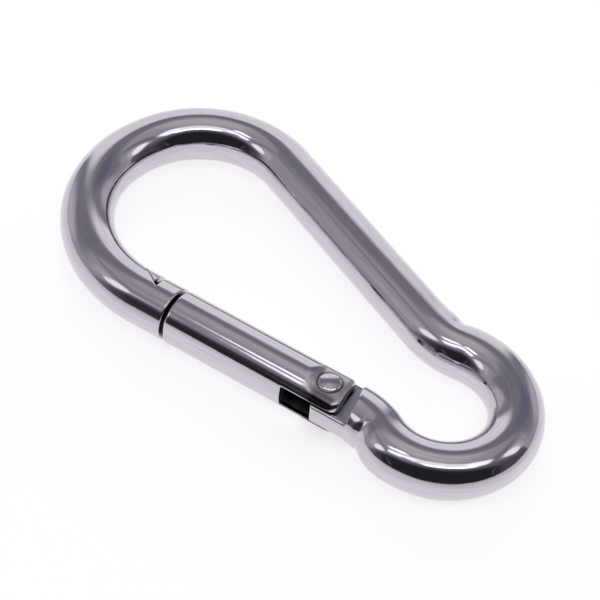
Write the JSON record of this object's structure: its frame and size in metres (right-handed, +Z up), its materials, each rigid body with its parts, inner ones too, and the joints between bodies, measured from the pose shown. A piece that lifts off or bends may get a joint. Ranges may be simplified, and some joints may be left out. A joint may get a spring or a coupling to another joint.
{
  "type": "spring snap hook",
  "caption": "Pear-shaped snap hook bent from round stainless bar, with a small eye at one end and a sprung gate that swings inwards on a riveted hinge.",
  "frame": {"origin": "centre of the bounding box's base: the hook lies flat and its underside is at z = 0", "axes": "+X along the gate from the nose to the hinge and the eye, +Y from the gate towards the spine, +Z up, square to the hook's plane"},
  "size_m": [0.0782, 0.0438, 0.0075],
  "materials": {
    "polished_steel": "polished stainless steel, faint long scratches",
    "gate_steel": "polished stainless steel, milled flats left duller",
    "rivet_steel": "polished stainless steel, slightly uneven peened dome",
    "turned_steel": "turned stainless steel",
    "spring_wire": "drawn stainless spring wire"
  },
  "bodies": {
    "hook": {"hook_body": "polished_steel"},
    "gate": {"gate": "gate_steel", "hinge_rivet": "rivet_steel", "spring": "spring_wire"},
    "plunger": {"plunger": "turned_steel"}
  },
  "joints": [
    {"name": "gate_hinge", "type": "hinge", "parent": "hook", "child": "gate", "pos_m": [0.01277, -0.01562, 0.00375], "axis": [0, 0, -1], "range_deg": [0, 40], "stiffness_Nm_per_rad": 0.08, "springref_deg": -68.75},
    {"name": "plunger_slide", "type": "slide", "parent": "gate", "child": "plunger", "axis": [-1, 0, 0], "range_m": [0, 0.00075], "deforming": ["spring"]}
  ],
  "couplings": [
    {"joint": "plunger_slide", "follows": "gate_hinge", "m_per_rad": 0.00103}
  ]
}
